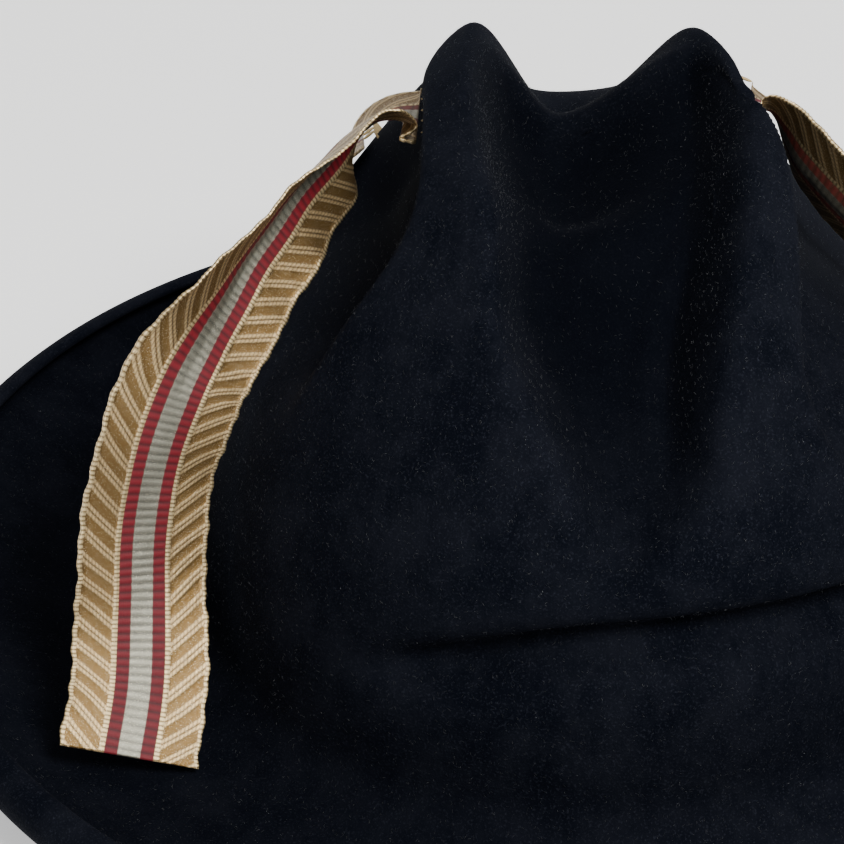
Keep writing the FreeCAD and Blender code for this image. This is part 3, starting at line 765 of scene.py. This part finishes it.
def makeTacks(run, thread):
    # over-and-down threads that hold the sewn end of a ribbon
    stations = run["stations"]
    first, second = np.array(stations[0][0]), np.array(stations[1][0])
    along = unit(second - first)
    width = np.array(stations[0][1])
    width = unit(width - along * np.dot(width, along))
    up = np.cross(along, width)
    up = up if up[2] > 0 else -up
    places, alongs, sizes = [], [], []
    for number in range(5):
        share = (number + 0.5) / 5 - 0.5
        over = first + width * weave["width"] * share + up * 1.25 - along * 2.4
        foot = over - along * 1.4 - up * 4.0
        places += [over, foot]
        alongs += [along + 0.12 * width * (-1) ** number, up]
        sizes += [(3.7, 0.8), (8.4, 0.8)]
    return growThreads(run["name"] + "_tack_threads", places, alongs, sizes, thread, 10, 8)


def makeTapeAndBow(thread):
    # woven tape behind the seam and the small flat bow tied over it
    backLine = wallAxes(band["high"], band["thickness"])[1]
    low = band["stitchHeight"] + 1.2
    across = np.linspace(-band["tapeWidth"] / 2.0, band["tapeWidth"] / 2.0, 40)
    up = np.linspace(low, low + band["tapeHeight"], 90)
    ribs = 0.05 * np.abs(np.sin(up * math.pi / 0.7))[:, None] * np.ones(40)[None, :]
    middleY = backLine - band["clear"] - 0.6
    grid = np.stack(np.broadcast_arrays(across[None, :], middleY, up[:, None]), axis=-1)
    deep = np.zeros_like(grid)
    deep[..., 1] = 0.22 + ribs
    tape = closedStrip("sweatband_seam_tape_woven", grid - deep, grid + deep, thread)
    rings = []
    turns = np.linspace(0.0, 2.0 * math.pi, 96, endpoint=False)
    middle = backLine - 2.9
    for step in range(12):
        angle = 2.0 * math.pi * step / 12
        inOut, deepness = 0.45 * math.cos(angle), 1.1 * math.sin(angle)
        # figure of eight, both loops from one closed line
        x = (11.0 + inOut) * np.sin(turns)
        z = 18.0 + (3.9 + inOut) * np.sin(2.0 * turns)
        rings.append(np.stack([x, middle + deepness + 0.35 * np.cos(turns), z], axis=-1))
    index = np.arange(12 * 96).reshape(12, 96)
    below, onward = np.roll(index, -1, 0), np.roll(index, -1, 1)
    faces = np.stack([index, below, np.roll(below, -1, 1), onward], axis=-1).reshape(-1, 4).tolist()
    bow = addPiece("sweatband_bow_loops", np.array(rings) * mm, faces, thread)
    knotPlace, knotWay, knotSize = (0.0, middle, 18.0), (0.0, 0.0, 1.0), (4.6, 3.2)
    knot = growThreads("sweatband_bow_knot", [knotPlace], [knotWay], [knotSize], thread, 20, 14)
    return tape, bow, knot


def makeNap():
    # short loose fibres and pale specks of lint, laid along the brushed felt
    mesh = feltPiece.data
    random = np.random.default_rng(41)
    corners = np.empty(len(mesh.vertices) * 3)
    mesh.vertices.foreach_get("co", corners)
    normals = np.empty(len(mesh.vertices) * 3, np.float32)
    mesh.vertices.foreach_get("normal", normals)
    corners, normals = corners.reshape(-1, 3) / mm, normals.reshape(-1, 3).astype(float)
    outside = np.arange(felt["columns"] * (felt["crownRows"] + felt["flareRows"] + felt["brimRows"]))
    grid = corners[outside].reshape(-1, felt["columns"], 3)
    tall = np.linalg.norm(np.gradient(grid, axis=0), axis=-1)
    wide = np.linalg.norm(np.roll(grid, -1, 1) - grid, axis=-1)
    share = (tall * wide).ravel()
    dark = threadMaterial("looseFeltFibre", (0.003, 0.004, 0.007, 1), (0.016, 0.019, 0.027, 1), 0.9)
    lint = threadMaterial("paleLint", (0.03, 0.034, 0.042, 1), (0.14, 0.145, 0.155, 1), 0.9)
    kinds = {
        "felt_nap": {"count": 32000, "length": (0.5, 1.3), "thickness": 0.06, "finish": dark},
        "felt_lint": {"count": 200, "length": (0.2, 0.7), "thickness": 0.13, "finish": lint},
    }
    pieces = []
    for name, kind in kinds.items():
        pick = random.choice(outside, kind["count"], p=share / share.sum())
        normal = normals[pick]
        around = np.cross(normal, (0.0, 0.0, 1.0))
        lay = unit(random.normal(size=normal.shape) * 0.8 - np.cross(normal, around) * 0.6)
        lay = unit(lay - normal * np.sum(lay * normal, axis=1, keepdims=True) + normal * 0.35)
        length = random.uniform(*kind["length"], kind["count"])
        jitter = np.cross(normal, lay) * random.uniform(-1.2, 1.2, (kind["count"], 1))
        places = corners[pick] + jitter + lay * length[:, None] * 0.3
        places[:, 2] = np.maximum(places[:, 2], 0.9)
        sizes = np.stack([length, np.full(kind["count"], kind["thickness"])], axis=-1)
        pieces.append(growThreads(name, places, lay, sizes, kind["finish"], 3, 2))
    return pieces


sweatband = makeSweatband()
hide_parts("sweatband")
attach(sweatband, "hat")
reed = makeReed()
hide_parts("sweatband_reed")
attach(reed, "hat")
bandThread = threadMaterial("sweatbandThread", (0.12, 0.1, 0.08, 1), (0.42, 0.38, 0.31, 1), 0.6)
stitches = makeBandStitches(bandThread)
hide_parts("sweatband_stitches")
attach(stitches, "hat")
tapeCloth = threadMaterial("seamTapeWeave", (0.01, 0.01, 0.012, 1), (0.06, 0.06, 0.07, 1), 0.7)
tape, bow, knot = makeTapeAndBow(tapeCloth)
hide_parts("sweatband_seam_tape")
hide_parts("sweatband_bow")
for piece in (tape, bow, knot):
    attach(piece, "hat")
tackThread = threadMaterial("goldTackThread", (0.2, 0.12, 0.04, 1), (0.7, 0.52, 0.25, 1), 0.45)
for run in (leftRun, rightRun, rearRun):
    tacks = makeTacks(run, tackThread)
    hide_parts(run["name"] + "_tacks")
    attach(tacks, "hat")
for piece in makeNap():
    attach(piece, "hat")


print("all pieces made")
